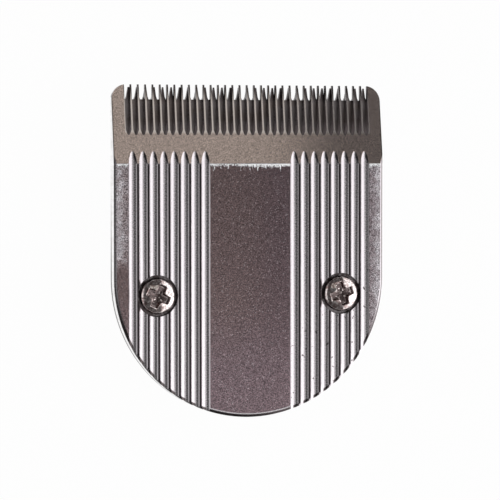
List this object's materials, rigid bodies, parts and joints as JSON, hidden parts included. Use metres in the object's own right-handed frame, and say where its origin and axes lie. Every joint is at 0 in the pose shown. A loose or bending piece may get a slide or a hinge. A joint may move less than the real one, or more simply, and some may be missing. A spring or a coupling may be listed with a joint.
{
  "type": "hair clipper blade",
  "caption": "Clip-on hair clipper blade set: a steel comb blade with a round end, ground grooves and a bevelled toothed edge, over a sliding toothed cutter in a sprung plastic holder.",
  "frame": {"origin": "middle of the footprint, on the plane of the holder's back", "axes": "+Z out of the ground face, +Y towards the teeth, +X across the blade"},
  "size_m": [0.035, 0.0418, 0.0092],
  "materials": {
    "comb_steel": "ground stainless steel, satin, lightly scuffed",
    "cutter_steel": "ground carbon steel, oiled",
    "screw_steel": "nickel plated steel",
    "spring_steel": "drawn spring wire",
    "driver_plastic": "natural acetal, satin",
    "carrier_plastic": "moulded, fine matt grain"
  },
  "bodies": {
    "holder": {"blade_carrier": "carrier_plastic", "comb_blade": "comb_steel", "blade_screws": "screw_steel", "tension_spring": "spring_steel"},
    "cutter": {"cutter_blade": "cutter_steel", "cutter_driver": "driver_plastic"}
  },
  "joints": [
    {"name": "cutter_slide", "type": "slide", "parent": "holder", "child": "cutter", "axis": [1, 0, 0], "range_m": [-0.00137, 0.00103]}
  ]
}
